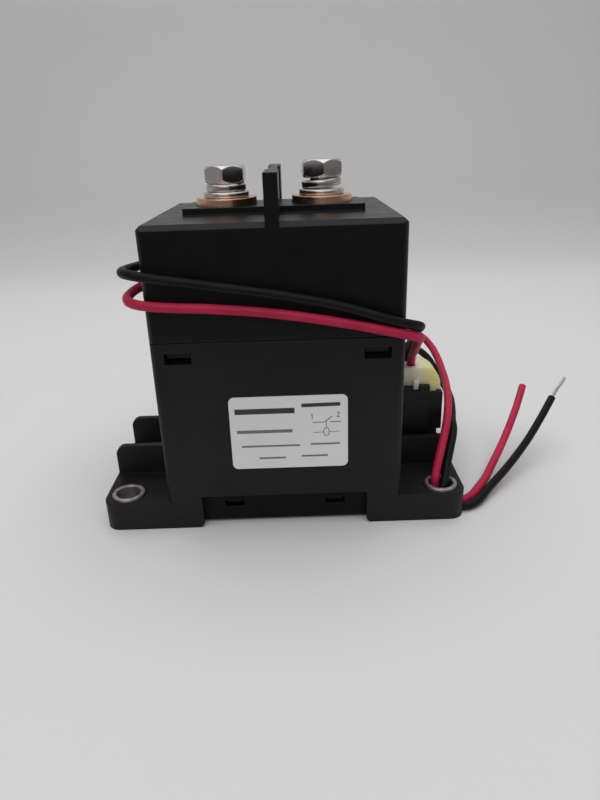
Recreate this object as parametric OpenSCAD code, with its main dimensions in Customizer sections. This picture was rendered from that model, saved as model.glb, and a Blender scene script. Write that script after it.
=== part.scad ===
// High voltage DC contactor: a base with four bushed ears, a snap-on cover with a barrier wall
// between two copper terminals, a plug-in coil connector with two leads, and the coil, plunger and
// contacts inside. Millimetres, +Z up, the labelled front faces -Y, the base stands on z = 0.

/* [Body] */
// Width of the body from side to side
body_w = 63.2; // [62:0.2:64]
// Depth of the body from front to back
body_d = 59; // [58.5:0.5:60]
// Height of the line where the cover meets the base
seam_z = 53.2; // [52.8:0.2:54]
// Height of the cover's flat top
cover_z = 81; // [80:0.5:83]
// Thickness of the moulded walls
wall = 2.5; // [2.3:0.1:2.7]
// Radius of the upright corners
corner_r = 1.8; // [1.2:0.2:2.2]
// Width of the bevel around the cover's top
edge_c = 1.2; // [0.8:0.1:1.6]
// Depth of the groove along the seam
seam_groove = 0.3; // [0.2:0.05:0.4]

/* [Ears] */
// How far an ear reaches out from the body
ear_reach = 18; // [17.5:0.5:19]
// Height of the ears
ear_h = 8; // [7.5:0.5:9]
// Radius of the ears' outer corners
ear_r = 4; // [3:0.5:5]
// Distance of a bushing's axis from the ear's front or rear edge
bush_edge = 5.5; // [5.4:0.1:6]
// Distance of a bushing's axis from the ear's outer end
bush_in = 6.1; // [5.8:0.1:6.4]
// Outer diameter of a mounting bushing
bush_od = 9; // [8.6:0.2:9.4]
// Bore of a mounting bushing
bush_id = 6.6; // [6.4:0.1:7]
// Height of a bushing above the ear
bush_proud = 0.8; // [0.5:0.1:1]
// Distance of the front ribs' middle plane from the centre plane
rib_front = 11; // [10.5:0.5:12]
// Distance of the rear ribs' middle plane from the centre plane
rib_rear = 9; // [8.8:0.1:11]
// Thickness of the ribs
rib_t = 2; // [1.6:0.2:2.4]
// Height of the ribs' top edges
rib_z = 17; // [15:0.5:17]
// Height of the channel for the leads under the front right ear
channel_h = 3.2; // [3.1:0.1:3.4]
// Width of that channel
channel_w = 5.8; // [5.6:0.2:6.4]

/* [Base openings] */
// Width of the recess in the bottom of the front and the back
recess_w = 44.8; // [43:0.2:46]
// Height of that recess
recess_h = 9.6; // [9:0.2:10.4]
// Width of the bevel on the feet beside that recess
foot_c = 1; // [0.6:0.1:1.2]
// Distance of the tray's slots from the middle
slot_x = 13.9; // [13:0.1:15]
// Width of a slot
slot_w = 5.2; // [4.8:0.2:6]
// Distance of the snap windows from the middle
window_x = 24.75; // [24:0.25:24.75]
// Width of a snap window
window_w = 6.7; // [6:0.1:6.8]
// Height of a snap window
window_h = 2.9; // [2.6:0.1:3.2]

/* [Cover top] */
// Length of the raised platform under the terminals
boss_w = 47; // [45:0.5:50]
// Depth of that platform
boss_d = 20; // [19:0.5:23]
// Height of that platform
boss_h = 1.7; // [1.4:0.1:2.2]
// Thickness of the barrier wall's two ends
barrier_t = 3.3; // [3:0.1:3.6]
// Thickness of the barrier wall between the terminals
barrier_web = 2; // [1.6:0.1:2.4]
// Distance of the thick ends from the centre plane
barrier_in = 11; // [10:0.5:12]
// Height of the barrier wall above the cover
barrier_h = 10.6; // [9.6:0.2:11.6]

/* [Terminals] */
// Distance between the two terminals
term_pitch = 25.5; // [25:0.5:26]
// Diameter of a terminal's copper collar
term_d = 16; // [15:0.5:16.5]
// Height of a collar above the platform
term_proud = 1.8; // [1.4:0.1:2.2]
// Diameter of a terminal's stud in the chamber
stud_d = 11; // [10:0.5:12]
// Thread diameter of a terminal bolt
thread_d = 6; // [5.8:0.1:6.2]
// Width of a bolt head across its flats
hex_af = 10; // [9.6:0.1:10.4]
// Height of a bolt head
head_h = 4.5; // [4:0.1:5]
// Outer diameter of a flat washer
washer_d = 12; // [11.6:0.1:12.6]
// Thickness of a flat washer
washer_t = 1.5; // [1.2:0.1:1.8]
// Outer diameter of a spring washer
split_d = 10.6; // [10:0.1:11]
// Thickness of a spring washer
split_t = 2; // [1.6:0.1:2.2]
// How much higher the right spring washer stands, which isn't pressed flat
split_open = 0.8; // [0.6:0.05:0.9]

/* [Label] */
// Width of the label
label_w = 30.4; // [28:0.2:32]
// Height of the label
label_h = 20.4; // [19:0.2:22]
// Distance of the label's middle from the centre plane, to the right
label_x = 2; // [0:0.5:3]
// Height of the label's middle
label_z = 28.1; // [27:0.1:30]
// Thickness of the label
label_t = 0.2; // [0.15:0.05:0.25]

/* [Socket and plug] */
// How far the socket's shroud reaches out from the body
socket_reach = 15.5; // [15:0.1:16]
// How far the socket's pedestal reaches out from the body
pedestal_reach = 11.4; // [10.5:0.1:12]
// Depth of the socket from front to back
socket_d = 14.4; // [14:0.2:15.2]
// Height of the underside of the shroud's overhang
shroud_z = 16.7; // [16:0.1:17.5]
// Height of the socket's rim beside the body
rim_z = 30.2; // [29.6:0.1:30.8]
// How much lower the rim is at the outer end
rim_drop = 1.8; // [1.4:0.1:2]
// Height of the plug above the socket's rim
plug_h = 5.7; // [5.3:0.1:6.2]
// Distance between the two leads in the plug
plug_pitch = 4.6; // [4.4:0.1:4.8]

/* [Magnet system] */
// Outer diameter of the coil winding
coil_od = 38; // [36:0.5:39]
// Diameter of the plunger and of the fixed core
core_d = 16.6; // [16:0.1:17]
// Diameter of the drive shaft
shaft_d = 4; // [3.6:0.1:4.2]
// Travel of the plunger
travel = 2.4; // [2.2:0.1:2.6]

/* [Contacts] */
// Gap between the open contacts
contact_gap = 1.8; // [1.6:0.1:2]
// Length of the contact bridge
bridge_w = 34; // [33:0.5:36]
// Depth of the contact bridge
bridge_d = 12; // [11:0.5:13]
// Thickness of the contact bridge
bridge_t = 4; // [3.6:0.1:4.2]

/* [Fits] */
// Gap between pieces that move against each other
run_gap = 0.3; // [0.3:0.05:0.4]
// Gap between pieces that stand still in each other
fit_gap = 0.2; // [0.15:0.05:0.25]
// Gap between a pressed-in piece and its seat
press_gap = 0.05; // [0.03:0.01:0.06]

/* [Leads] */
// Diameter of a lead over its insulation
lead_d = 2.4; // [2.2:0.1:2.4]
// Diameter of the bare strands
strand_d = 1; // [0.8:0.1:1.2]

/* [Hidden] */
$fn = 48;

// Derived sizes of the body
inner_w = body_w - 2 * wall;
inner_d = body_d - 2 * wall;
side_x = body_w / 2;
front_y = body_d / 2;
ear_x = side_x + ear_reach;
bush_x = ear_x - bush_in;
bush_y = front_y - bush_edge;
window_z = seam_z - 4.25;
skirt_t = 1.6;
skirt_z = window_z - 4.6;
roof_t = 3;
roof_z = cover_z - roof_t;
boss_z = cover_z + boss_h;
term_z = boss_z + term_proud;

// Derived heights of the inner stack
tray_z = 0.8;
tray_t = 2.2;
tray_top = tray_z + tray_t;
tray_wall = 2;
yoke_t = 3;
yoke_floor = tray_top + yoke_t;
coil_h = 37;
plate_z = yoke_floor + coil_h;
plate_top = plate_z + yoke_t;
frame_h = 4;
chamber_z = plate_top + frame_h;
pad_t = 3;
chamber_top = roof_z - pad_t;
chamber_out = 5;
chamber_w = term_pitch + term_d + chamber_out;
chamber_d = term_d + 2 * chamber_out;
chamber_t = 3;
sleeve_id = core_d + 2 * run_gap;
sleeve_od = sleeve_id + 0.8;
bobbin_id = sleeve_od + 2 * run_gap;
bobbin_od = bobbin_id + 2.8;
flange_t = 1.5;
yoke_w = inner_w - 2 * (fit_gap + skirt_t) - 3.4;
yoke_d = coil_od - 6;
core_h = 14;
core_z = plate_z - core_h;
air_gap = travel + 0.1;
plunger_h = 18;
plunger_top = core_z - air_gap;
plunger_z = plunger_top - plunger_h;
pocket_h = 6;
pocket_d = 10.4;
seat_z = plate_top + 2.5;
seat_t = 2;
contact_spring_h = 5.5;
bridge_z = seat_z + seat_t + contact_spring_h;
bridge_top = bridge_z + bridge_t;
stud_z = bridge_top + contact_gap;
clip_z = bridge_top + 0.1;
clip_t = 0.8;
shaft_top = clip_z + clip_t + 1.6;
magnet_t = 3;
magnet_w = 18;
magnet_h = 14;
magnet_z = (chamber_z + chamber_top - magnet_h) / 2;
band_t = 1.2;
band_h = 8;
band_z = magnet_z + (magnet_h - band_h) / 2;
seat_d = 12;
clip_d = 8;
return_r = 4;
return_t = 0.8;
contact_r = 4.4;
contact_t = 0.9;
bolt_reach = 8.5;
bolt_room = 10;
washer_c = 0.3;
split_c = 0.35;
split_cut = 1;
split_tilt = 5;

// Derived sizes of the connector
plug_in = 6.5;
plug_x = side_x + plug_in;
cav_x0 = side_x + 2;
cav_x1 = side_x + socket_reach - 1.5;
shroud_in = 1.2;
cav_d = socket_d - 4.8;
key_w = 1.9;
key_x = plug_x + key_w / 2;
key_h = 0.8;
lug_h = 0.7;
cav_z = shroud_z + 1.3;
pin_t = 1;
pin_z = 14;
pin_top = cav_z + 0.67 * (rim_z - cav_z);
plug_z = cav_z + 1;
plug_top = rim_z + plug_h;
plug_r = plug_h - fit_gap;
plug_split = side_x + pedestal_reach + fit_gap;

// The leads' routes, drawn for a body of this width and depth
route_w = 63.2;
route_d = 59;
red_route = [[38.1, -2.3, plug_top - 3.9], [38.1, -2.3, plug_top + 0.2], [38, -4, 39.2],
    [37.6, -9, 42.2], [36.5, -18, 47.4], [35.6, -26, 51.4], [34.5, -29.6, 52.7], [31, -31.3, 54],
    [15.2, -31.3, 57.5], [1, -31.3, 60], [-14.3, -31.3, 61.7], [-29, -31.4, 62.8], [-33.4, -30, 63.2],
    [-36, -26, 63.4], [-36.4, -20.5, 63.8], [-35, -13, 64.2], [-34, 0, 64], [-34.5, 24, 62.9],
    [-33.6, 29.4, 62.3], [-29.7, 31.6, 61.2], [-10, 31.4, 55], [8, 31.4, 48.4], [24, 31.8, 42.4],
    [36, 33, 38], [44, 34.8, 35.1], [48.6, 34.6, 33], [51, 31.8, 30.8], [52.2, 26, 28.5],
    [52.4, 18, 26.2], [51.9, 10, 24.8], [50.4, 0.5, 23.3], [48.9, -6, 21.9], [47, -12.2, 19.5],
    [44.6, -17.8, 15.5], [42.7, -21.7, 11], [42.3, -22.7, 8.4], [42.4, -22.8, 6], [42.75, -22.8, 4.2],
    [43.75, -22.8, 2.7], [45.25, -22.8, 1.7], [47, -22.8, 1.35], [51.5, -21.8, 1.5], [56.8, -17, 2.7],
    [63, -8, 4.8], [75.2, 11, 13.2], [80.4, 20, 19]];
black_route = [[38.1, 2.3, plug_top - 3.9], [38.1, 2.3, plug_top + 0.2], [38, 1.2, 39.4],
    [37.7, -2.6, 42.8], [37, -9, 46.4], [36.1, -17.5, 50.7], [35.5, -26, 54.2], [34.4, -29.6, 55.5],
    [30.5, -31.3, 56.8], [15.2, -31.3, 61.5], [1.2, -31.3, 64.5], [-13.8, -31.3, 67],
    [-29.4, -31.4, 69.6], [-34.3, -29.7, 70.2], [-36.6, -25.6, 70], [-37, -20, 69.6], [-36, -12, 69],
    [-35, 2, 68.2], [-35.4, 24, 66.4], [-34.4, 32.2, 64.5], [-28.4, 35.4, 61.7], [-10, 34.6, 52.4],
    [8, 34.6, 43.8], [24, 35, 36.4], [36, 36.8, 31.6], [43.6, 37.6, 29], [47.4, 35.6, 28],
    [49.4, 31.4, 27.2], [50.9, 24.4, 25.4], [52.1, 16.6, 23.1], [52.7, 8, 21.4], [51.6, 0, 20.4],
    [50.3, -6.2, 19.4], [49.4, -11.6, 18.3], [47.3, -17, 14.3], [45.8, -20.6, 11.3],
    [44.95, -23.3, 9.6], [44.2, -24.8, 7.8], [43.8, -25.3, 5.9], [44.05, -25.3, 4.2],
    [45.05, -25.3, 2.7], [46.55, -25.3, 1.7], [48.3, -25.3, 1.35], [52.6, -24.6, 1.4], [59.4, -18, 2.8],
    [74.8, -1, 7.3], [82.5, 8, 11.5], [88.7, 15, 16.5]];
strand_route = [[88.78, 15.09, 16.57], [91.2, 17.4, 18.8], [94.4, 20, 21.6]];

// A flat rectangle with rounded corners
module rrect(w, d, r) {
    square([w - 2 * r, d], center = true);
    square([w, d - 2 * r], center = true);
    for (x = [-1, 1], y = [-1, 1])
        translate([x * (w / 2 - r), y * (d / 2 - r)]) circle(r);
}

// A rounded slab between two heights
module slab(w, d, r, z0, z1) {
    translate([0, 0, z0]) linear_extrude(z1 - z0) rrect(w, d, r);
}

// A block between two corners
module block(p, q) {
    translate(p) cube(q - p);
}

// A disc between two heights
module disc(d, z0, z1) {
    translate([0, 0, z0]) cylinder(d = d, h = z1 - z0);
}

// A flat shape in x and z, thick along y between two planes
module upright(y0, y1) {
    translate([0, y1, 0]) rotate([90, 0, 0]) linear_extrude(y1 - y0) children();
}

// What a bevel takes off a straight top edge that runs along x
module edge_strip(l, c) {
    rotate([90, 0, 90]) translate([0, 0, -l / 2]) linear_extrude(l)
        polygon([[-c - 1, 1], [1, 1], [1, -c - 1]]);
}

// What bevels take off all four top edges of a block
module top_edges(w, d, z, c) {
    for (a = [0, 180]) rotate([0, 0, a]) translate([0, d / 2, z]) edge_strip(w + 4, c);
    for (a = [90, 270]) rotate([0, 0, a]) translate([0, w / 2, z]) edge_strip(d + 4, c);
}

// The four bushing axes
module at_bushings() {
    for (x = [-1, 1], y = [-1, 1]) translate([x * bush_x, y * bush_y, 0]) children();
}

// The room for the leads under the front right ear
module lead_channel() {
    block([bush_x, -bush_y - channel_w / 2, -1], [ear_x + 1, -bush_y + channel_w / 2, channel_h]);
}

// A rib's outline in x and z
module rib_outline() {
    r = 2.5;
    x1 = ear_x - 0.4;
    translate([side_x - 1, 1]) square([x1 - r - side_x + 1, rib_z - 1]);
    translate([side_x - 1, 1]) square([x1 - side_x + 1, rib_z - r - 1]);
    translate([x1 - r, rib_z - r]) circle(r);
}

// A snap tongue of the base behind the tray's upstand, at the front
module base_tongue() {
    y0 = -inner_d / 2;
    y1 = y0 + 2 * fit_gap + tray_wall;
    w = slot_w - 0.6;
    block([-w / 2, y0 - 0.5, recess_h + 2.4], [w / 2, y1 + 1.6, recess_h + 6]);
    block([-w / 2, y1, 4.2], [w / 2, y1 + 1.6, recess_h + 3]);
    block([-w / 2, y1 - 1, 5.3], [w / 2, y1 + 0.5, 6.6]);
}

module base_housing() color([0.13, 0.13, 0.14]) {
    difference() {
        union() {
            slab(body_w, body_d, corner_r, 0, seam_z - seam_groove);
            slab(body_w - 2 * seam_groove, body_d - 2 * seam_groove, corner_r, seam_z - 1, seam_z);
            slab(2 * ear_x, body_d, ear_r, 0, ear_h);
            for (m = [0, 1], y = [-rib_front, rib_rear])
                mirror([m, 0, 0]) upright(y - rib_t / 2, y + rib_t / 2) rib_outline();
        }
        slab(inner_w, inner_d, 1, -1, seam_z + 1);
        for (y = [-front_y, front_y])
            block([-recess_w / 2, y - wall - 0.5, -1], [recess_w / 2, y + wall + 0.5, recess_h]);
        for (x = [-recess_w / 2, recess_w / 2]) translate([x, 0, 0]) rotate([0, 45, 0])
            cube([foot_c * sqrt(2), body_d + 2, foot_c * sqrt(2)], center = true);
        for (x = [-window_x, window_x])
            block([x - window_w / 2, -front_y - 1, window_z - window_h / 2],
                [x + window_w / 2, front_y + 1, window_z + window_h / 2]);
        at_bushings() disc(bush_od + 2 * press_gap, -1, ear_h + 1);
        lead_channel();
        block([label_x - label_w / 2 - 0.1, -front_y - 1, label_z - label_h / 2 - 0.1],
            [label_x + label_w / 2 + 0.1, -front_y + label_t / 2, label_z + label_h / 2 + 0.1]);
        for (y = [-plug_pitch / 2, plug_pitch / 2])
            block([side_x - wall - 1, y - 0.7, pin_z - 0.7], [side_x + 1, y + 0.7, pin_z + 0.7]);
    }
    for (a = [0, 180], x = [-slot_x, slot_x])
        rotate([0, 0, a]) translate([x, 0, 0]) base_tongue();
}

module bottom_plate() color([0.09, 0.09, 0.095]) difference() {
    union() {
        slab(inner_w - 2 * fit_gap, inner_d - 2 * fit_gap, 1, tray_z, tray_top);
        for (a = [0, 180]) rotate([0, 0, a])
            block([-recess_w / 2 - 1.8, -inner_d / 2 + fit_gap, tray_z],
                [recess_w / 2 + 1.8, -inner_d / 2 + fit_gap + tray_wall, recess_h + 2]);
    }
    for (x = [-slot_x, slot_x])
        block([x - slot_w / 2, -front_y, 5], [x + slot_w / 2, front_y, 6.9]);
}

// One of the cover's snap hooks, at the front
module cover_hook() {
    y0 = -inner_d / 2 + fit_gap;
    w = window_w - 0.6;
    z0 = window_z - window_h / 2;
    z1 = window_z + window_h / 2 - 0.2;
    translate([-w / 2, 0, 0]) rotate([90, 0, 90]) linear_extrude(w)
        polygon([[y0 + 0.5, z0 - 0.6], [y0, z0 - 0.6], [y0, z0 + 0.3], [y0 - 1, z0 + 1.2], [y0 - 1, z1],
            [y0 + 0.5, z1]]);
}

module top_cover() color([0.07, 0.07, 0.07]) {
    difference() {
        union() {
            difference() {
                slab(body_w, body_d, corner_r, seam_z, cover_z);
                top_edges(body_w, body_d, cover_z, edge_c);
            }
            slab(boss_w, boss_d, 0.8, cover_z - 1, boss_z);
            block([-barrier_web / 2, -barrier_in - 1, cover_z - 2],
                [barrier_web / 2, barrier_in + 1, cover_z + barrier_h]);
            block([-barrier_t / 2, -front_y, cover_z - 2], [barrier_t / 2, -barrier_in, cover_z + barrier_h]);
            block([-barrier_t / 2, barrier_in, cover_z - 2],
                [barrier_t / 2, front_y - edge_c, cover_z + barrier_h]);
        }
        slab(inner_w, inner_d, 1, seam_z - 1, roof_z);
        for (x = [-term_pitch / 2, term_pitch / 2])
            translate([x, 0, 0]) disc(term_d + 2 * run_gap, roof_z - 1, boss_z + 1);
    }
    difference() {
        union() {
            slab(inner_w + 0.4, inner_d + 0.4, 1, seam_z, seam_z + 3);
            slab(inner_w - 2 * fit_gap, inner_d - 2 * fit_gap, 1, skirt_z, seam_z + 1);
        }
        slab(inner_w - 2 * fit_gap - 2 * skirt_t, inner_d - 2 * fit_gap - 2 * skirt_t, 1, skirt_z - 1,
            seam_z + 4);
    }
    for (a = [0, 180], x = [-window_x, window_x])
        rotate([0, 0, a]) translate([x, 0, 0]) cover_hook();
}

module mounting_bushings() color([0.75, 0.75, 0.76]) difference() {
    at_bushings() difference() {
        disc(bush_od, 0, ear_h + bush_proud);
        disc(bush_id, -1, ear_h + 2);
    }
    lead_channel();
}

module terminal() color([0.8, 0.5, 0.34]) difference() {
    union() {
        disc(term_d, chamber_top, term_z);
        disc(stud_d, stud_z, chamber_top + 1);
    }
    disc(thread_d + 2 * fit_gap, term_z - bolt_room, term_z + 1);
}

module terminal_left() translate([-term_pitch / 2, 0, 0]) terminal();
module terminal_right() translate([term_pitch / 2, 0, 0]) terminal();

module at_terminals() {
    for (x = [-term_pitch / 2, term_pitch / 2]) translate([x, 0, 0]) children();
}

// A disc between two heights with both its edges bevelled
module bevelled(d, z0, z1, c) {
    translate([0, 0, z0]) cylinder(d1 = d - 2 * c, d2 = d, h = c);
    disc(d, z0 + c, z1 - c);
    translate([0, 0, z1 - c]) cylinder(d1 = d, d2 = d - 2 * c, h = c);
}

module flat_washers() color([0.78, 0.78, 0.78]) at_terminals() difference() {
    bevelled(washer_d, term_z, term_z + washer_t, washer_c);
    disc(thread_d + 0.6, term_z - 1, term_z + washer_t + 1);
}

// A spring washer around the origin, cut through at the back
module split_ring() {
    difference() {
        bevelled(split_d, -split_t / 2, split_t / 2, split_c);
        disc(thread_d + 0.6, -split_t, split_t);
        translate([0, split_d / 2, 0]) rotate([0, 35, 0])
            cube([split_cut, split_d, 3 * split_t], center = true);
    }
}

module spring_washers() color([0.7, 0.7, 0.7]) {
    z0 = term_z + washer_t;
    h = split_t + split_open;
    translate([-term_pitch / 2, 0, z0 + split_t / 2]) split_ring();
    translate([term_pitch / 2, 0, z0]) intersection() {
        translate([0, 0, h / 2]) rotate([0, -split_tilt, 0]) split_ring();
        disc(2 * split_d, 0, h);
    }
}

// A hexagon by its width across the flats
module hexagon(af) {
    r = af / 2 / cos(30);
    polygon([for (i = [0 : 5]) [r * cos(60 * i), r * sin(60 * i)]]);
}

// A bolt head on z = 0 with both its ends bevelled
module hex_head() {
    r = hex_af * 0.6;
    c0 = r - hex_af * 0.475;
    c1 = r - hex_af * 0.485;
    intersection() {
        linear_extrude(head_h) hexagon(hex_af);
        union() {
            cylinder(r1 = r - c0, r2 = r, h = c0);
            disc(2 * r, c0, head_h - c1);
            translate([0, 0, head_h - c1]) cylinder(r1 = r, r2 = r - c1, h = c1);
        }
    }
}

module terminal_bolts() color([0.76, 0.76, 0.77]) {
    z0 = term_z + washer_t + split_t;
    // Each bolt's side, turn and lift
    for (s = [[-1, 28, 0], [1, 34, split_open]])
        translate([s[0] * term_pitch / 2, 0, s[2]]) rotate([0, 0, s[1]]) {
            translate([0, 0, z0]) hex_head();
            disc(thread_d, term_z - bolt_reach, z0 + 0.5);
        }
}

module front_label() color([0.86, 0.86, 0.86])
    upright(-front_y - label_t / 2, -front_y + label_t / 2)
        translate([label_x, label_z]) rrect(label_w, label_h, 1.5);

module chamber_pad() color([0.16, 0.16, 0.16]) difference() {
    slab(chamber_w - 1, chamber_d - 1, 3, chamber_top, roof_z);
    at_terminals() disc(term_d + 2 * run_gap, chamber_top - 1, roof_z + 1);
}

module arc_chamber() color([0.92, 0.91, 0.88]) difference() {
    slab(chamber_w, chamber_d, 3, chamber_z, chamber_top);
    slab(chamber_w - 2 * chamber_t, chamber_d - 2 * chamber_t, 2, chamber_z - 1, chamber_top - chamber_t);
    at_terminals() disc(stud_d + 2 * run_gap, chamber_top - chamber_t - 1, chamber_top + 1);
}

module chamber_frame() color([0.66, 0.66, 0.65]) difference() {
    union() {
        slab(chamber_w - 2, chamber_d - 2, 3, plate_top, chamber_z);
        slab(chamber_w + 2, chamber_d + 2, 3, plate_top, plate_top + 1);
    }
    slab(chamber_w - 5, chamber_d - 5, 2, plate_top - 1, chamber_z + 1);
}

module blow_magnets() color([0.35, 0.35, 0.36]) for (a = [0, 180]) rotate([0, 0, a])
    block([-magnet_w / 2, -chamber_d / 2 - magnet_t - fit_gap / 2, magnet_z],
        [magnet_w / 2, -chamber_d / 2 - fit_gap / 2, magnet_z + magnet_h]);

module magnet_band() color([0.6, 0.6, 0.61]) difference() {
    slab(chamber_w + 2 * fit_gap + 2 * band_t, chamber_d + 2 * magnet_t + 2 * fit_gap + 2 * band_t, 2,
        band_z, band_z + band_h);
    slab(chamber_w + 2 * fit_gap, chamber_d + 2 * magnet_t + 2 * fit_gap, 1, band_z - 1, band_z + band_h + 1);
}

module yoke_plate() color([0.62, 0.63, 0.64]) difference() {
    slab(yoke_w, yoke_d + 6, 2, plate_z, plate_top);
    disc(core_d - 4 + 2 * press_gap, plate_z - 1, plate_top + 1);
}

module yoke_frame() color([0.62, 0.63, 0.64]) difference() {
    block([-yoke_w / 2, -yoke_d / 2, tray_top], [yoke_w / 2, yoke_d / 2, plate_z]);
    block([-yoke_w / 2 + yoke_t, -yoke_d, yoke_floor], [yoke_w / 2 - yoke_t, yoke_d, plate_z + 1]);
    block([0, -5, pin_z - 3], [yoke_w, 5, pin_z + 3]);
}

module bobbin_flange(z) {
    slab(yoke_w - 2 * yoke_t - 0.6, coil_od + 1, 3, z, z + flange_t);
}

module coil_bobbin() color([0.82, 0.8, 0.74]) difference() {
    union() {
        bobbin_flange(yoke_floor);
        bobbin_flange(plate_z - flange_t);
        disc(bobbin_od, yoke_floor, plate_z);
    }
    disc(bobbin_id, yoke_floor - 1, plate_z + 1);
}

module coil_winding() color([0.66, 0.36, 0.2]) difference() {
    disc(coil_od, yoke_floor + flange_t, plate_z - flange_t);
    disc(bobbin_od + 2 * press_gap, yoke_floor, plate_z);
}

module coil_tails() color([0.66, 0.36, 0.2]) for (y = [-plug_pitch / 2, plug_pitch / 2])
    translate([coil_od / 2 + 0.05, y, pin_z]) rotate([0, 90, 0])
        cylinder(d = 0.8, h = side_x - wall - 1.5 - coil_od / 2 - 0.1, $fn = 16);

module guide_sleeve() color([0.72, 0.72, 0.73]) difference() {
    disc(sleeve_od, yoke_floor, plate_z);
    disc(sleeve_id, yoke_floor + 0.6, plate_z + 1);
}

module fixed_core() color([0.58, 0.58, 0.6]) difference() {
    union() {
        disc(core_d, core_z, plate_z);
        disc(core_d - 4, core_z, plate_top);
    }
    disc(shaft_d + 2 * run_gap, core_z - 1, plate_top + 1);
    disc(pocket_d, core_z - 1, core_z + pocket_h);
}

module plunger() color([0.58, 0.58, 0.6]) difference() {
    disc(core_d, plunger_z, plunger_top);
    disc(shaft_d + 2 * press_gap, plunger_z - 1, plunger_top + 1);
    disc(pocket_d, plunger_top - pocket_h, plunger_top + 1);
}

module drive_shaft() color([0.74, 0.74, 0.75]) disc(shaft_d, plunger_z, shaft_top);

module spring_seat() color([0.74, 0.74, 0.75]) difference() {
    disc(seat_d, seat_z, seat_z + seat_t);
    disc(shaft_d + 2 * press_gap, seat_z - 1, seat_z + seat_t + 1);
}

module shaft_clip() color([0.5, 0.5, 0.52]) difference() {
    disc(clip_d, clip_z, clip_z + clip_t);
    disc(shaft_d + 2 * press_gap, clip_z - 1, clip_z + clip_t + 1);
}

module contact_bridge() color([0.8, 0.5, 0.34]) difference() {
    slab(bridge_w, bridge_d, 2, bridge_z, bridge_top);
    disc(shaft_d + 2 * run_gap, bridge_z - 1, bridge_top + 1);
}

function unit(v) = v / norm(v);
function tangent(p, i) = unit(p[min(i + 1, len(p) - 1)] - p[max(i - 1, 0)]);
function next_side(u, t) = unit(u - (u * t) * t);
function sides(p, u0) = [for (i = 0, u = next_side(u0, tangent(p, 0)); i < len(p);
    i = i + 1, u = i < len(p) ? next_side(u, tangent(p, i)) : u) u];

// A round tube swept along a list of points
module tube(p, d, n) {
    u = sides(p, [0.9, 0.3, 0.1]);
    points = [for (i = [0 : len(p) - 1]) let (t = tangent(p, i), v = cross(t, u[i]))
        for (k = [0 : n - 1]) p[i] + d / 2 * (cos(360 * k / n) * u[i] + sin(360 * k / n) * v)];
    walls = [for (i = [0 : len(p) - 2], k = [0 : n - 1])
        [i * n + k, (i + 1) * n + k, (i + 1) * n + (k + 1) % n, i * n + (k + 1) % n]];
    first = [for (k = [0 : n - 1]) k];
    last = [for (k = [0 : n - 1]) (len(p) - 1) * n + n - 1 - k];
    polyhedron(points, concat(walls, [first], [last]), convexity = 10);
}

// The line of a coil spring between two heights, with flat end turns
function coil_line(r, d, z0, z1, turns, n) = [for (i = [0 : n * turns])
    let (s = i / n, q = min(max((s - 0.75) / (turns - 1.5), 0), 1))
    [r * cos(360 * s), r * sin(360 * s), z0 + d / 2 + (z1 - z0 - d) * q * 0.86
        + (z1 - z0 - d) * 0.14 * s / turns]];

module return_spring() color([0.7, 0.7, 0.7])
    tube(coil_line(return_r, return_t, plunger_top - pocket_h + 0.05, core_z + pocket_h - 0.05, 7, 16),
        return_t, 6);

module contact_spring() color([0.7, 0.7, 0.7])
    tube(coil_line(contact_r, contact_t, seat_z + seat_t + 0.05, bridge_z - 0.05, 3, 16), contact_t, 6);

module coil_socket() color([0.1, 0.1, 0.105]) difference() {
    x1 = side_x + pedestal_reach;
    union() {
        block([side_x, -socket_d / 2, ear_h], [x1, socket_d / 2, rim_z]);
        block([side_x, -socket_d / 2 + shroud_in, shroud_z],
            [side_x + socket_reach, socket_d / 2 - shroud_in, rim_z - rim_drop]);
        for (m = [0, 1]) mirror([0, m, 0])
            block([key_x + key_w / 2, -socket_d / 2, rim_z - 1], [x1, -cav_d / 2 - 0.6, rim_z + lug_h]);
    }
    block([cav_x0, -cav_d / 2, cav_z], [cav_x1, cav_d / 2, plug_top]);
    block([key_x - key_w / 2, -socket_d, rim_z - key_h], [key_x + key_w / 2, 0, plug_top]);
    for (y = [-plug_pitch / 2, plug_pitch / 2]) {
        block([side_x - 1, y - 0.6, pin_z - 0.6], [plug_x + 0.6, y + 0.6, pin_z + 0.6]);
        block([plug_x - 0.6, y - 0.6, pin_z - 0.6], [plug_x + 0.6, y + 0.6, cav_z + 1]);
    }
}

module socket_pins() color([0.78, 0.74, 0.6]) for (y = [-plug_pitch / 2, plug_pitch / 2]) {
    h = pin_t / 2;
    block([side_x - wall - 1.5, y - h, pin_z - h], [plug_x + h, y + h, pin_z + h]);
    block([plug_x - h, y - h, pin_z - h], [plug_x + h, y + h, pin_top]);
}

// The plug's head in x and z between two ends, with its big round outer corner
module plug_outline(x0, x1, z0) {
    r = plug_r;
    translate([x0, z0]) square([x1 - r - x0, plug_top - z0]);
    translate([x0, z0]) square([x1 - x0, plug_top - r - z0 + 0.01]);
    intersection() {
        translate([x1 - r, plug_top - r]) circle(r);
        translate([x0, plug_top - r]) square([x1 - x0, r]);
    }
}

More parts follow.
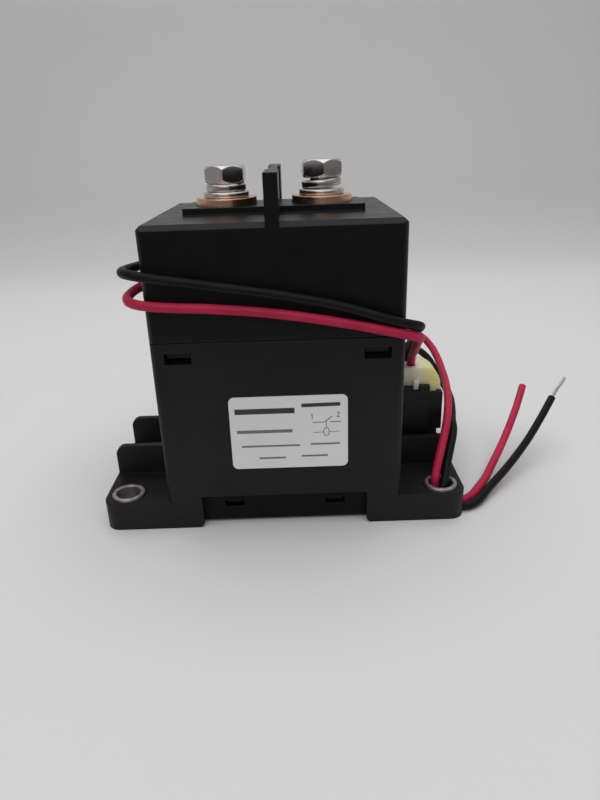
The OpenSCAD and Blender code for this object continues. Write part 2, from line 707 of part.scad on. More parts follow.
module coil_plug() color([0.8, 0.78, 0.68]) difference() {
    x1 = side_x + socket_reach - 0.5;
    union() {
        intersection() {
            upright(-cav_d / 2 - 0.3, cav_d / 2 + 0.3) plug_outline(cav_x0, x1, rim_z + fit_gap);
            block([cav_x0 - 1, -socket_d, rim_z], [plug_split, socket_d, plug_top + 1]);
        }
        upright(-cav_d / 2 + 0.5, cav_d / 2 - 0.5)
            plug_outline(cav_x0 + fit_gap, x1, rim_z + fit_gap);
        intersection() {
            upright(-cav_d / 2 + 0.5, cav_d / 2 - 0.5) plug_outline(cav_x0, x1, rim_z - rim_drop + fit_gap);
            block([plug_split, -socket_d, cav_z], [x1 + 1, socket_d, plug_top + 1]);
        }
        block([cav_x0 + fit_gap, -cav_d / 2 + fit_gap, plug_z],
            [cav_x1 - fit_gap, cav_d / 2 - fit_gap, rim_z + 1]);
        // The key in the socket's front notch
        block([key_x - key_w / 2 + fit_gap, -cav_d / 2 - 1.8, rim_z - key_h + fit_gap],
            [key_x + key_w / 2 - fit_gap, -cav_d / 2, rim_z + 2]);
    }
    for (y = [-plug_pitch / 2, plug_pitch / 2]) {
        block([plug_x - 1.3, y - 1.3, plug_z - 1], [plug_x + 1.3, y + 1.3, rim_z + 1.8]);
        translate([plug_x, y, 0]) disc(lead_d + 0.5, rim_z + 1.4, plug_top + 1);
    }
}

module plug_contacts() color([0.78, 0.66, 0.4]) for (y = [-plug_pitch / 2, plug_pitch / 2])
    difference() {
        block([plug_x - 1.1, y - 1.1, plug_z + 0.5], [plug_x + 1.1, y + 1.1, rim_z + 1.6]);
        block([plug_x - 0.7, y - 0.7, plug_z - 1], [plug_x + 0.7, y + 0.7, pin_top + pin_t / 2]);
    }

function placed(p) = [for (q = p) [q[0] * body_w / route_w, q[1] * body_d / route_d, q[2]]];

module lead_red() color([0.7, 0.12, 0.2]) tube(placed(red_route), lead_d, 8);
module lead_black() color([0.06, 0.06, 0.06]) tube(placed(black_route), lead_d, 8);
module lead_strands() color([0.78, 0.77, 0.74]) tube(placed(strand_route), strand_d, 8);

base_housing();
bottom_plate();
top_cover();
mounting_bushings();
terminal_left();
terminal_right();
flat_washers();
spring_washers();
terminal_bolts();
front_label();
chamber_pad();
arc_chamber();
chamber_frame();
blow_magnets();
magnet_band();
yoke_plate();
yoke_frame();
coil_bobbin();
coil_winding();
coil_tails();
guide_sleeve();
fixed_core();
return_spring();
plunger();
drive_shaft();
spring_seat();
shaft_clip();
contact_spring();
contact_bridge();
coil_socket();
socket_pins();
coil_plug();
plug_contacts();
lead_red();
lead_black();
lead_strands();
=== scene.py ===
"""Looks of a high voltage DC contactor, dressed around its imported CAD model."""

import math

import bmesh
import bpy
from mathutils import Matrix, Vector


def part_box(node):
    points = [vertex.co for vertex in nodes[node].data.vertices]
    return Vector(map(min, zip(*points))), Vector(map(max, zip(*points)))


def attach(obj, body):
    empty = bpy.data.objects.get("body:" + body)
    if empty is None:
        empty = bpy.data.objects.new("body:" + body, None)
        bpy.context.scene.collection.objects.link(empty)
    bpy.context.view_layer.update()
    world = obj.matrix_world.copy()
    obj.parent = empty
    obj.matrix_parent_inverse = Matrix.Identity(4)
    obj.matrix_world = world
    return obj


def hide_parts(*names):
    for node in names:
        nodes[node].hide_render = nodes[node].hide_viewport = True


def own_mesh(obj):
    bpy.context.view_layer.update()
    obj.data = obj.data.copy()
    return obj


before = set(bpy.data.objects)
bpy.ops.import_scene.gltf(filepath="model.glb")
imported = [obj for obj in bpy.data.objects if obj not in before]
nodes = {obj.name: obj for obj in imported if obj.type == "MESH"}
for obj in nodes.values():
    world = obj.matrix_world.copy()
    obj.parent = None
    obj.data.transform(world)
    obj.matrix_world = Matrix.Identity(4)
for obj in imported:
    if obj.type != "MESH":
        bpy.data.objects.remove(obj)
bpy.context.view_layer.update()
scene = bpy.context.scene
MM = 0.001

# Camera fitted to the photo's edges: place in mm, its own axes, then frame width and focal length in mm
CAMERA_AT = (4.979, -176.077, 97.712)
CAMERA_RIGHT = (0.99943877, -0.01330419, -0.03074342)
CAMERA_DOWN = (-0.03349424, -0.38199927, -0.92355547)
CAMERA_FORWARD = (0.00054319, 0.92406686, -0.38223049)
CAMERA_FRAME = 36
CAMERA_LENS = 28.13

# The leads' routes in mm, the same points as in the CAD source
LEAD_D = 2.4
RED_ROUTE = [
    (38.1, -2.3, 32), (38.1, -2.3, 36.1), (38, -4, 39.2), (37.6, -9, 42.2), (36.5, -18, 47.4),
    (35.6, -26, 51.4), (34.5, -29.6, 52.7), (31, -31.3, 54), (15.2, -31.3, 57.5), (1, -31.3, 60),
    (-14.3, -31.3, 61.7), (-29, -31.4, 62.8), (-33.4, -30, 63.2), (-36, -26, 63.4), (-36.4, -20.5, 63.8),
    (-35, -13, 64.2), (-34, 0, 64), (-34.5, 24, 62.9), (-33.6, 29.4, 62.3), (-29.7, 31.6, 61.2),
    (-10, 31.4, 55), (8, 31.4, 48.4), (24, 31.8, 42.4), (36, 33, 38), (44, 34.8, 35.1), (48.6, 34.6, 33),
    (51, 31.8, 30.8), (52.2, 26, 28.5), (52.4, 18, 26.2), (51.9, 10, 24.8), (50.4, 0.5, 23.3),
    (48.9, -6, 21.9), (47, -12.2, 19.5), (44.6, -17.8, 15.5), (42.7, -21.7, 11), (42.3, -22.7, 8.4),
    (42.4, -22.8, 6), (42.75, -22.8, 4.2), (43.75, -22.8, 2.7), (45.25, -22.8, 1.7), (47, -22.8, 1.35),
    (51.5, -21.8, 1.5), (56.8, -17, 2.7), (63, -8, 4.8), (75.2, 11, 13.2), (80.4, 20, 19),
]
BLACK_ROUTE = [
    (38.1, 2.3, 32), (38.1, 2.3, 36.1), (38, 1.2, 39.4), (37.7, -2.6, 42.8), (37, -9, 46.4),
    (36.1, -17.5, 50.7), (35.5, -26, 54.2), (34.4, -29.6, 55.5), (30.5, -31.3, 56.8), (15.2, -31.3, 61.5),
    (1.2, -31.3, 64.5), (-13.8, -31.3, 67), (-29.4, -31.4, 69.6), (-34.3, -29.7, 70.2), (-36.6, -25.6, 70),
    (-37, -20, 69.6), (-36, -12, 69), (-35, 2, 68.2), (-35.4, 24, 66.4), (-34.4, 32.2, 64.5),
    (-28.4, 35.4, 61.7), (-10, 34.6, 52.4), (8, 34.6, 43.8), (24, 35, 36.4), (36, 36.8, 31.6),
    (43.6, 37.6, 29), (47.4, 35.6, 28), (49.4, 31.4, 27.2), (50.9, 24.4, 25.4), (52.1, 16.6, 23.1),
    (52.7, 8, 21.4), (51.6, 0, 20.4), (50.3, -6.2, 19.4), (49.4, -11.6, 18.3), (47.3, -17, 14.3),
    (45.8, -20.6, 11.3), (44.95, -23.3, 9.6), (44.2, -24.8, 7.8), (43.8, -25.3, 5.9), (44.05, -25.3, 4.2),
    (45.05, -25.3, 2.7), (46.55, -25.3, 1.7), (48.3, -25.3, 1.35), (52.6, -24.6, 1.4), (59.4, -18, 2.8),
    (74.8, -1, 7.3), (82.5, 8, 11.5), (88.7, 15, 16.5),
]

# The bare conductor at each lead's free end, in mm: thin wires, one of them in the middle
STRAND_ROUTE = [(88.7, 15, 16.5), (91.2, 17.4, 18.8), (94.4, 20, 21.6)]
RED_CORE_ROUTE = [(79.96, 19.24, 18.51), (80.4, 20, 19), (80.66, 20.45, 19.29)]
WIRES = 8
WIRE_D = 0.36
CONDUCTOR_D = 1.15

# The springs, in mm: the heights that each fills but for a small gap at both ends
RETURN_SPACE = (20.5, 35.0)
CONTACT_SPACE = (50.5, 56.0)
SPRING_GAP = 0.05

# How much the bushings' rims are rounded and how far the label's print stands out, in mm
RIM_R = 0.25
PRINT_T = 0.012

# The stage, in metres: a paper floor that sweeps up to a backdrop, and in front of it a dark sheet, painted
# shade for the unlit room that the metal mirrors
PAPER_X = (-1.2, 1.2)
PAPER_FRONT = -0.14
SWEEP_START = 0.25
SWEEP_R = 0.2
PAPER_TOP = 1.2
DARK_ROOM_SHEET_X = (-0.7, 3.0)
DARK_ROOM_SHEET_FRONT = -3.0
DARK_ROOM_SHEET_Z = -0.003
# painted shade: the grey of the dark sheet that stands in for the unlit room
PAINTED_DARK_ROOM_GREY = 0.12

# The paper's grey at some heights in metres, lowest first: painted shade, lighter on the floor and darker
# where the paper curves up and on the backdrop
PAPER_PAINTED_SHADE = [
    (-0.01, 0.76), (0.0, 0.785), (0.007, 0.665), (0.017, 0.61), (0.04, 0.545), (0.07, 0.53), (0.2, 0.635),
    (0.3, 0.67),
]


def metres(points):
    """Points in mm as vectors in metres."""
    return [Vector(p) * MM for p in points]


def grey(value):
    """A colour without a hue."""
    return (value, value, value)


def add_object(name, data):
    """A new object in the scene."""
    obj = bpy.data.objects.new(name, data)
    scene.collection.objects.link(obj)
    return obj


def add_mesh(name, bm, mat):
    """A new object with one material from a finished bmesh, which is freed."""
    mesh = bpy.data.meshes.new(name)
    bm.to_mesh(mesh)
    bm.free()
    mesh.materials.append(mat)
    return add_object(name, mesh)


# Material helpers

# Noise lies mostly between the first two values, and a colour turns into the other between the next two
NOISE_LOW, NOISE_HIGH = 0.3, 0.7
TURN_LOW, TURN_HIGH = 0.35, 0.65
GLOSS_PER_PATCH = 3
GRAIN_HEIGHT = 0.00005
EDGE_SAMPLES = 6


def new_material(name):
    """A new material with its node tree and its main shader."""
    mat = bpy.data.materials.new(name)
    mat.use_nodes = True
    tree = mat.node_tree
    return mat, tree, tree.nodes["Principled BSDF"]


def object_coords(tree):
    """Where a point is in its object, in metres."""
    return tree.nodes.new("ShaderNodeTexCoord").outputs["Object"]


def noise(tree, coords, scale, detail=4.0, rough=0.6):
    """Noise of that many features per metre."""
    n = tree.nodes.new("ShaderNodeTexNoise")
    n.inputs["Scale"].default_value = scale
    n.inputs["Detail"].default_value = detail
    n.inputs["Roughness"].default_value = rough
    tree.links.new(coords, n.inputs["Vector"])
    return n.outputs["Fac"]


def spread(tree, value, low, high):
    """Noise stretched to run from low to high."""
    m = tree.nodes.new("ShaderNodeMapRange")
    m.inputs["From Min"].default_value = NOISE_LOW
    m.inputs["From Max"].default_value = NOISE_HIGH
    m.inputs["To Min"].default_value = low
    m.inputs["To Max"].default_value = high
    tree.links.new(value, m.inputs["Value"])
    return m.outputs["Result"]


def two_colours(tree, value, dark, light):
    """Noise as patches of two colours with soft borders."""
    ramp = tree.nodes.new("ShaderNodeValToRGB")
    ramp.color_ramp.elements[0].position = TURN_LOW
    ramp.color_ramp.elements[1].position = TURN_HIGH
    ramp.color_ramp.elements[0].color = (*dark, 1)
    ramp.color_ramp.elements[1].color = (*light, 1)
    tree.links.new(value, ramp.inputs["Fac"])
    return ramp.outputs["Color"]


def bump(tree, height, strength, distance, before=None):
    """A normal bent by a height, on top of the normal before it if there is one."""
    b = tree.nodes.new("ShaderNodeBump")
    b.inputs["Strength"].default_value = strength
    b.inputs["Distance"].default_value = distance
    tree.links.new(height, b.inputs["Height"])
    if before:
        tree.links.new(before, b.inputs["Normal"])
    return b.outputs["Normal"]


def rounded(tree, radius):
    """A normal that rounds the shape's edges by that radius."""
    b = tree.nodes.new("ShaderNodeBevel")
    b.samples = EDGE_SAMPLES
    b.inputs["Radius"].default_value = radius
    return b.outputs["Normal"]


def surface(name, dark, light, rough, metallic=0.0, patch=60, grain=2500, grain_depth=0.3, specular=0.5,
            edge=0.0):
    """A material with patchy colour, patchy gloss, a fine grain and soft edges.

    Patch and grain count features per metre, and edge is a radius in metres.
    """
    mat, tree, bsdf = new_material(name)
    where = object_coords(tree)
    colour = two_colours(tree, noise(tree, where, patch), dark, light)
    gloss = spread(tree, noise(tree, where, patch * GLOSS_PER_PATCH), *rough)
    soft = rounded(tree, edge) if edge else None
    normal = bump(tree, noise(tree, where, grain, detail=2.0), grain_depth, GRAIN_HEIGHT, soft)
    tree.links.new(colour, bsdf.inputs["Base Color"])
    tree.links.new(gloss, bsdf.inputs["Roughness"])
    tree.links.new(normal, bsdf.inputs["Normal"])
    bsdf.inputs["Metallic"].default_value = metallic
    bsdf.inputs["Specular IOR Level"].default_value = specular
    return mat


def tint_along_x(mat, start, end, colour):
    """Turns a material's colour into another one between two planes across x."""
    tree = mat.node_tree
    bsdf = tree.nodes["Principled BSDF"]
    before = bsdf.inputs["Base Color"].links[0].from_socket
    split = tree.nodes.new("ShaderNodeSeparateXYZ")
    tree.links.new(object_coords(tree), split.inputs["Vector"])
    step = tree.nodes.new("ShaderNodeMapRange")
    step.inputs["From Min"].default_value = start
    step.inputs["From Max"].default_value = end
    tree.links.new(split.outputs["X"], step.inputs["Value"])
    mix = tree.nodes.new("ShaderNodeMix")
    mix.data_type = "RGBA"
    tree.links.new(step.outputs["Result"], mix.inputs["Factor"])
    tree.links.new(before, mix.inputs["A"])
    mix.inputs["B"].default_value = (*colour, 1)
    tree.links.new(mix.outputs["Result"], bsdf.inputs["Base Color"])


def scatter(mat, weight, depth, reach):
    """Lets light into a moulding, to a depth in metres and a share of it for red, green and blue."""
    bsdf = mat.node_tree.nodes["Principled BSDF"]
    bsdf.inputs["Subsurface Weight"].default_value = weight
    bsdf.inputs["Subsurface Scale"].default_value = depth
    bsdf.inputs["Subsurface Radius"].default_value = reach


def paint(node, mat):
    """Gives a CAD node its material."""
    mesh = nodes[node].data
    mesh.materials.clear()
    mesh.materials.append(mat)


# Plastics and rubber

base_black = surface("base_black", dark=(0.0065, 0.0065, 0.0075), light=(0.0095, 0.0095, 0.0108),
                     rough=(0.46, 0.6), grain=3000, specular=0.28, edge=0.00045)
tray_black = surface("tray_black", dark=grey(0.002), light=grey(0.004), rough=(0.5, 0.62), grain=3000,
                     specular=0.18, edge=0.0003)
socket_black = surface("socket_black", dark=grey(0.003), light=grey(0.005), rough=(0.4, 0.55), grain=3000,
                       specular=0.3, edge=0.0003)
cover_black = surface("cover_black", dark=grey(0.003), light=grey(0.0045), rough=(0.3, 0.4), grain=2200,
                      grain_depth=0.12, specular=0.33, edge=0.0003)
rubber = surface("rubber_pad", dark=grey(0.02), light=grey(0.03), rough=(0.6, 0.75), patch=80)
nylon = surface("bobbin_nylon", dark=(0.66, 0.63, 0.54), light=(0.74, 0.71, 0.62), rough=(0.4, 0.55),
                patch=70, grain=3000)
plug_nylon = surface("plug_nylon", dark=(0.88, 0.79, 0.58), light=(0.95, 0.86, 0.66), rough=(0.4, 0.55),
                     patch=90, grain=3000, grain_depth=0.15, specular=0.3, edge=0.0004)
tint_along_x(plug_nylon, start=0.0405, end=0.0435, colour=(0.80, 0.75, 0.34))
scatter(plug_nylon, weight=0.8, depth=0.005, reach=(1.0, 0.9, 0.6))
red_pvc = surface("lead_red_pvc", dark=(0.45, 0.014, 0.058), light=(0.57, 0.020, 0.078), rough=(0.42, 0.56),
                  patch=120, grain=3500, grain_depth=0.15, specular=0.28)
black_pvc = surface("lead_black_pvc", dark=grey(0.003), light=grey(0.005), rough=(0.42, 0.56), patch=120,
                    grain=3500, grain_depth=0.15, specular=0.22)

# Metals

STEEL_DARK = (0.70, 0.66, 0.64)
STEEL_LIGHT = (0.80, 0.76, 0.74)
plated = surface("plated_steel", STEEL_DARK, STEEL_LIGHT, rough=(0.14, 0.24), metallic=1.0, patch=200,
                 grain=6000, grain_depth=0.1, edge=0.0003)
washer_steel = surface("washer_steel", STEEL_DARK, STEEL_LIGHT, rough=(0.16, 0.28), metallic=1.0, patch=200,
                       grain=6000, grain_depth=0.1, edge=0.0008)
zinc = surface("bushing_zinc", dark=(0.36, 0.34, 0.331), light=(0.56, 0.533, 0.519), rough=(0.42, 0.56),
               metallic=1.0, patch=700, grain=5000, edge=0.0006)
copper = surface("copper", dark=(0.94, 0.55, 0.39), light=(0.99, 0.63, 0.46), rough=(0.24, 0.34),
                 metallic=1.0, patch=150, grain=5000, grain_depth=0.06, edge=0.0005)
soft_iron = surface("magnet_steel", dark=(0.45, 0.45, 0.46), light=(0.56, 0.56, 0.57), rough=(0.28, 0.45),
                    metallic=1.0, patch=120, grain=3500)
enamel = surface("coil_copper", dark=(0.36, 0.13, 0.05), light=(0.5, 0.2, 0.09), rough=(0.2, 0.35),
                 metallic=0.8, patch=300, grain=4000)
spring_wire = surface("spring_steel", dark=grey(0.5), light=grey(0.62), rough=(0.25, 0.4), metallic=1.0,
                      patch=200, grain=4000)
brass = surface("contact_brass", dark=(0.62, 0.52, 0.32), light=(0.72, 0.62, 0.42), rough=(0.25, 0.4),
                metallic=1.0, patch=200, grain=4000)
tinned = surface("tinned_copper", dark=(0.56, 0.54, 0.5), light=(0.7, 0.68, 0.64), rough=(0.25, 0.4),
                 metallic=1.0, patch=300, grain=6000)

# Ceramics and the label

ceramic = surface("chamber_ceramic", dark=(0.80, 0.78, 0.73), light=(0.86, 0.84, 0.80), rough=(0.45, 0.6),
                  grain=4000)
ferrite = surface("magnet_grey", dark=(0.05, 0.05, 0.055), light=(0.09, 0.09, 0.1), rough=(0.4, 0.6),
                  metallic=0.3, patch=200, grain=5000)
film = surface("label_film", dark=(0.84, 0.84, 0.845), light=(0.88, 0.88, 0.885), rough=(0.4, 0.5), patch=40,
               grain=4000, grain_depth=0.08)
ink = surface("label_ink", dark=(0.03, 0.03, 0.033), light=(0.05, 0.05, 0.055), rough=(0.45, 0.55),
              patch=400, grain=4000, grain_depth=0.05)
pale_ink = surface("label_pale_ink", dark=(0.16, 0.16, 0.165), light=(0.22, 0.22, 0.225), rough=(0.45, 0.55),
                   patch=400, grain=4000, grain_depth=0.05)

LOOKS = {
    base_black: ["base_housing"],
    socket_black: ["coil_socket"],
    tray_black: ["bottom_plate"],
    cover_black: ["top_cover"],
    plated: ["terminal_bolts"],
    washer_steel: ["flat_washers", "spring_washers"],
    zinc: ["mounting_bushings"],
    copper: ["terminal_left", "terminal_right", "contact_bridge"],
    film: ["front_label"],
    rubber: ["chamber_pad"],
    ceramic: ["arc_chamber"],
    soft_iron: ["magnet_band", "yoke_plate", "yoke_frame", "fixed_core", "plunger", "chamber_frame",
                "guide_sleeve"],
    ferrite: ["blow_magnets"],
    nylon: ["coil_bobbin"],
    enamel: ["coil_winding", "coil_tails"],
    spring_wire: ["return_spring", "contact_spring", "drive_shaft", "spring_seat", "shaft_clip"],
    brass: ["socket_pins", "plug_contacts"],
    plug_nylon: ["coil_plug"],
    red_pvc: ["lead_red"],
    black_pvc: ["lead_black"],
    tinned: ["lead_strands"],
}
for look, names in LOOKS.items():
    for name in names:
        paint(name, look)


# Camera


def add_camera():
    """The photo's camera."""
    cam = bpy.data.cameras.new("photo_camera")
    cam.sensor_width = CAMERA_FRAME
    cam.lens = CAMERA_LENS
    cam.clip_start = 0.01
    cam.clip_end = 20
    obj = add_object("photo_camera", cam)
    axes = Matrix((CAMERA_RIGHT, -Vector(CAMERA_DOWN), -Vector(CAMERA_FORWARD))).transposed()
    obj.matrix_world = Matrix.Translation(Vector(CAMERA_AT) * MM) @ axes.to_4x4()
    scene.camera = obj


add_camera()


# Leads


def round_curve(name, diameter, roundness, mat):
    """An empty curve that makes its lines into round cords of a diameter in mm, with closed ends."""
    curve = bpy.data.curves.new(name, "CURVE")
    curve.dimensions = "3D"
    curve.bevel_depth = diameter * MM / 2
    curve.bevel_resolution = roundness
    curve.use_fill_caps = True
    curve.materials.append(mat)
    return curve


def lead(name, route, diameter, mat):
    """A round cord through the route's points, as one open smooth spline."""
    curve = round_curve(name, diameter, roundness=5, mat=mat)
    curve.resolution_u = 10
    spline = curve.splines.new("BEZIER")
    points = metres(route)
    spline.bezier_points.add(len(points) - 1)
    for b, p in zip(spline.bezier_points, points):
        b.co = p
        b.handle_left_type = "AUTO"
        b.handle_right_type = "AUTO"
    return add_object(name, curve)


def bare_strands(name, route, turns, mat):
    """Wires twisted by some turns around the one in the middle, which fray a little towards the end."""
    steps = 24
    fray, fray_change = 0.35, 5.0
    curve = round_curve(name, WIRE_D, roundness=2, mat=mat)
    line = metres(route)
    legs = len(line) - 1
    around = WIRES - 1
    for w in range(WIRES):
        spline = curve.splines.new("POLY")
        spline.points.add(steps)
        for i in range(steps + 1):
            t = i / steps
            leg = min(int(t * legs), legs - 1)
            here = line[leg].lerp(line[leg + 1], t * legs - leg)
            along = (line[leg + 1] - line[leg]).normalized()
            side = along.orthogonal().normalized()
            up = along.cross(side)
            a = 2 * math.pi * (w / around + turns * t)
            spread_out = 1 + fray * t * math.sin(fray_change * w)
            off = 0.0 if w == around else (CONDUCTOR_D - WIRE_D) / 2 * MM * spread_out
            spline.points[i].co = (*(here + off * (math.cos(a) * side + math.sin(a) * up)), 1)
    return add_object(name, curve)


red_core = bare_strands("red_core", RED_CORE_ROUTE, turns=0.1, mat=tinned)
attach(red_core, "housing")
red_lead = lead("red_lead", RED_ROUTE, LEAD_D, red_pvc)
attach(red_lead, "housing")
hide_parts("lead_red")
strands = bare_strands("bare_strands", STRAND_ROUTE, turns=1.3, mat=tinned)
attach(strands, "housing")
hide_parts("lead_strands")
black_lead = lead("black_lead", BLACK_ROUTE, LEAD_D, black_pvc)
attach(black_lead, "housing")
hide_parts("lead_black")


# Springs, built at rest: the real ones are squeezed as the plunger rises, these keep their shape and go with
# their bodies


def coil_spring(name, radius, wire, space, turns, mat):
    """A round wire coiled around z in a space between two heights in mm, with its end turns nearly flat."""
    per_turn, sides = 24, 10
    flat_end, steep_share = 0.75, 0.86
    bottom = space[0] + SPRING_GAP + wire / 2
    top = space[1] - SPRING_GAP - wire / 2
    circle = [2 * math.pi * k / sides for k in range(sides)]
    bm = bmesh.new()
    rings = []
    for i in range(per_turn * turns + 1):
        turn = i / per_turn
        steep = min(max((turn - flat_end) / (turns - 2 * flat_end), 0), 1)
        rise = steep_share * steep + (1 - steep_share) * turn / turns
        a = 2 * math.pi * turn
        out = Vector((math.cos(a), math.sin(a), 0))
        at = out * radius + Vector((0, 0, bottom + (top - bottom) * rise))
        rings.append([bm.verts.new((at + wire / 2 * (math.cos(c) * out + Vector((0, 0, math.sin(c))))) * MM)
                      for c in circle])
    for a, b in zip(rings, rings[1:]):
        for k in range(sides):
            bm.faces.new((a[k], a[(k + 1) % sides], b[(k + 1) % sides], b[k]))
    bm.faces.new(rings[0])
    bm.faces.new(rings[-1][::-1])
    bmesh.ops.recalc_face_normals(bm, faces=bm.faces)
    obj = add_mesh(name, bm, mat)
    for f in obj.data.polygons:
        f.use_smooth = len(f.vertices) == 4
    return obj


return_coil = coil_spring("return_coil", radius=4.0, wire=0.8, space=RETURN_SPACE, turns=7,
                          mat=spring_wire)
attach(return_coil, "housing")
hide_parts("return_spring")
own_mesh(return_coil)
contact_coil = coil_spring("contact_coil", radius=4.4, wire=0.9, space=CONTACT_SPACE, turns=3,
                           mat=spring_wire)
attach(contact_coil, "armature")
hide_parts("contact_spring")
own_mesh(contact_coil)


# Bushings, whose rims are rounded


def round_rims(name, node, radius, mat):
    """A copy of a CAD node whose sharp edges at the top are rounded by a radius in mm."""
    near = 0.01 * MM
    flat, sharp, smooth = math.radians(1), math.radians(60), math.radians(40)
    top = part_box(node)[1][2]
    bm = bmesh.new()
    bm.from_mesh(nodes[node].data)
    bmesh.ops.remove_doubles(bm, verts=bm.verts, dist=near / 10)
    bmesh.ops.dissolve_limit(bm, angle_limit=flat, verts=bm.verts, edges=bm.edges)
    rims = [e for e in bm.edges
            if e.calc_face_angle(0) > sharp and all(top - v.co.z < near for v in e.verts)]
    bmesh.ops.bevel(bm, geom=rims, offset=radius * MM, segments=4, profile=0.5, affect="EDGES",
                    clamp_overlap=True)
    bmesh.ops.recalc_face_normals(bm, faces=bm.faces)
    obj = add_mesh(name, bm, mat)
    for f in obj.data.polygons:
        f.use_smooth = True
    obj.data.set_sharp_from_angle(angle=smooth)
    return obj


bushings = round_rims("rounded_bushings", "mounting_bushings", RIM_R, zinc)
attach(bushings, "housing")
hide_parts("mounting_bushings")


# The label's plain print: a contact and coil symbol with the numbers 1 and 2, and bars for the lines


def stroke(bm, points, width):
    """A thin raised line of that width through points given from the label's top left corner, in mm."""
    low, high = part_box("front_label")
    for (x0, z0), (x1, z1) in zip(points, points[1:]):
        along = Vector((x1 - x0, z1 - z0)).normalized()
        side = Vector((-along.y, along.x)) * width / 2
        ends = [Vector((x0, z0)) - along * width / 4, Vector((x1, z1)) + along * width / 4]
        corners = [ends[0] + side, ends[1] + side, ends[1] - side, ends[0] - side]
        flat = [(low[0] + c.x * MM, high[2] - c.y * MM) for c in corners]
        back, front = ([bm.verts.new((x, low[1] - t * MM, z)) for x, z in flat] for t in (0, PRINT_T))
        bm.faces.new(front)
        bm.faces.new(back[::-1])
        for i in range(4):
            bm.faces.new((back[i], back[(i + 1) % 4], front[(i + 1) % 4], front[i]))


def add_print(name, lines, mat):
    """One piece of print from lines, each with its points and its width in mm."""
    bm = bmesh.new()
    for points, width in lines:
        stroke(bm, points, width)
    bmesh.ops.recalc_face_normals(bm, faces=bm.faces)
    obj = add_mesh(name, bm, mat)
    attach(obj, "housing")


def oval(x, z, half_width, half_height):
    """A closed line around a centre, in 15 steps."""
    angles = [math.radians(a) for a in range(0, 361, 24)]
    return [(x + half_width * math.cos(a), z + half_height * math.sin(a)) for a in angles]


contact_lines = [
    ([(21.4, 7.55), (24.5, 7.5), (26.3, 6.0)], 0.2),
    ([(25.9, 7.5), (28.6, 7.45)], 0.2),
    ([(24.85, 7.5), (24.85, 9.15)], 0.16),
]
coil_lines = [
    (oval(24.85, 10.3, 0.72, 1.15), 0.16),
    ([(21.6, 10.4), (24.13, 10.35)], 0.14),
    ([(25.57, 10.3), (28.2, 10.25)], 0.14),
]
number_lines = [
    ([(21.0, 5.5), (21.25, 5.3), (21.25, 6.6)], 0.18),
    ([(27.6, 5.1), (27.85, 4.85), (28.15, 4.85), (28.3, 5.15), (27.6, 6.15), (28.35, 6.15)], 0.16),
]
bold_bars = [
    ([(1.8, 4.0), (16.4, 4.0)], 1.5),
    ([(18.8, 2.7), (28.2, 2.6)], 1.0),
]
thin_bars = [
    ([(1.9, 9.7), (15.8, 9.7)], 0.9),
    ([(2.8, 13.9), (17.8, 13.9)], 0.5),
    ([(20.8, 13.7), (28.2, 13.7)], 0.5),
    ([(7.2, 17.4), (14.0, 17.4)], 0.5),
    ([(18.4, 17.1), (25.0, 17.1)], 0.5),
]
add_print("label_symbol", contact_lines + coil_lines + number_lines + bold_bars, ink)
add_print("label_bars", thin_bars, pale_ink)


# Stage and soft studio light


def stage_sheet(name, rows, left, right):
    """A smooth matt sheet through rows of (y, z), from left to right in x, with its tree and shader."""
    mat, tree, bsdf = new_material(name)
    bsdf.inputs["Roughness"].default_value = 0.9
    bsdf.inputs["Specular IOR Level"].default_value = 0.2
    bm = bmesh.new()
    verts = [[bm.verts.new((x, y, z)) for x in (left, right)] for y, z in rows]
    for a, b in zip(verts, verts[1:]):
        bm.faces.new((a[0], a[1], b[1], b[0]))
    obj = add_mesh(name, bm, mat)
    for f in obj.data.polygons:
        f.use_smooth = True
    return tree, bsdf


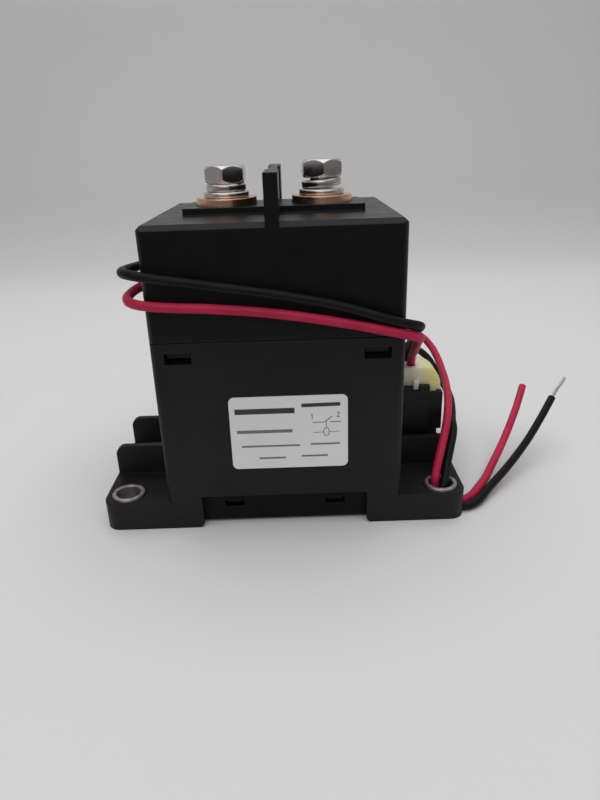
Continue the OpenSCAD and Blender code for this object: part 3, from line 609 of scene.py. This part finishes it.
def paint_shade_by_height(tree, bsdf, shades):
    """Paints shade on a sheet as greys by (height, grey) pairs, lowest first."""
    low, high = shades[0][0], shades[-1][0]
    height = tree.nodes.new("ShaderNodeSeparateXYZ")
    tree.links.new(object_coords(tree), height.inputs["Vector"])
    share = tree.nodes.new("ShaderNodeMapRange")
    share.inputs["From Min"].default_value = low
    share.inputs["From Max"].default_value = high
    tree.links.new(height.outputs["Z"], share.inputs["Value"])
    ramp = tree.nodes.new("ShaderNodeValToRGB")
    ramp.color_ramp.interpolation = "B_SPLINE"
    stops = ramp.color_ramp.elements
    for z, value in shades[1:-1]:
        stops.new((z - low) / (high - low)).color = (*grey(value), 1)
    for stop, value in ((stops[0], shades[0][1]), (stops[-1], shades[-1][1])):
        stop.color = (*grey(value), 1)
    tree.links.new(share.outputs["Result"], ramp.inputs["Fac"])
    tree.links.new(ramp.outputs["Color"], bsdf.inputs["Base Color"])


def add_paper():
    """White paper: a flat floor, a quarter round and an upright backdrop, with painted shade by height."""
    steps = 16
    rows = [(PAPER_FRONT, 0.0), (SWEEP_START, 0.0)]
    for i in range(1, steps + 1):
        a = math.radians(90 * i / steps)
        rows.append((SWEEP_START + SWEEP_R * math.sin(a), SWEEP_R * (1 - math.cos(a))))
    rows.append((SWEEP_START + SWEEP_R, PAPER_TOP))
    tree, bsdf = stage_sheet("studio_sweep", rows, *PAPER_X)
    # painted shade: the paper's grey falls from the floor up the sweep and the backdrop
    paint_shade_by_height(tree, bsdf, PAPER_PAINTED_SHADE)


def add_painted_dark_room():
    """A dark sheet in front of the paper, painted shade for the unlit room, which the metal mirrors."""
    rows = [(DARK_ROOM_SHEET_FRONT, DARK_ROOM_SHEET_Z), (PAPER_FRONT, DARK_ROOM_SHEET_Z)]
    _, bsdf = stage_sheet("painted_dark_room", rows, *DARK_ROOM_SHEET_X)
    # painted shade: a dark grey that stands in for the unlit room, seen in the metal's reflections
    bsdf.inputs["Base Color"].default_value = (*grey(PAINTED_DARK_ROOM_GREY), 1)


def area_light(name, at, target, size, power, mirrored=True):
    """A rectangular lamp that faces a target. Glossy surfaces show it only if it is mirrored."""
    lamp = bpy.data.lights.new(name, "AREA")
    lamp.shape = "RECTANGLE"
    lamp.size, lamp.size_y = size
    lamp.energy = power
    obj = add_object(name, lamp)
    obj.location = at
    obj.rotation_euler = (Vector(target) - Vector(at)).to_track_quat("-Z", "Y").to_euler()
    obj.visible_glossy = mirrored


def add_world(value, strength):
    """Even light from all around."""
    world = bpy.data.worlds.new("studio_world")
    world.use_nodes = True
    background = world.node_tree.nodes["Background"]
    background.inputs["Color"].default_value = (*grey(value), 1)
    background.inputs["Strength"].default_value = strength
    scene.world = world


add_paper()
add_painted_dark_room()
area_light("top_softbox", at=(0, 0, 0.65), target=(0, 0, 0), size=(0.9, 0.8), power=2.0)
area_light("top_fill", at=(0, 0, 0.66), target=(0, 0, 0), size=(0.9, 0.8), power=1.6, mirrored=False)
area_light("front_fill", at=(-0.1, -0.7, 0.6), target=(0, 0, 0.05), size=(0.7, 0.5), power=1.1)
add_world(value=0.9, strength=0.25)
scene.view_settings.view_transform = "Standard"
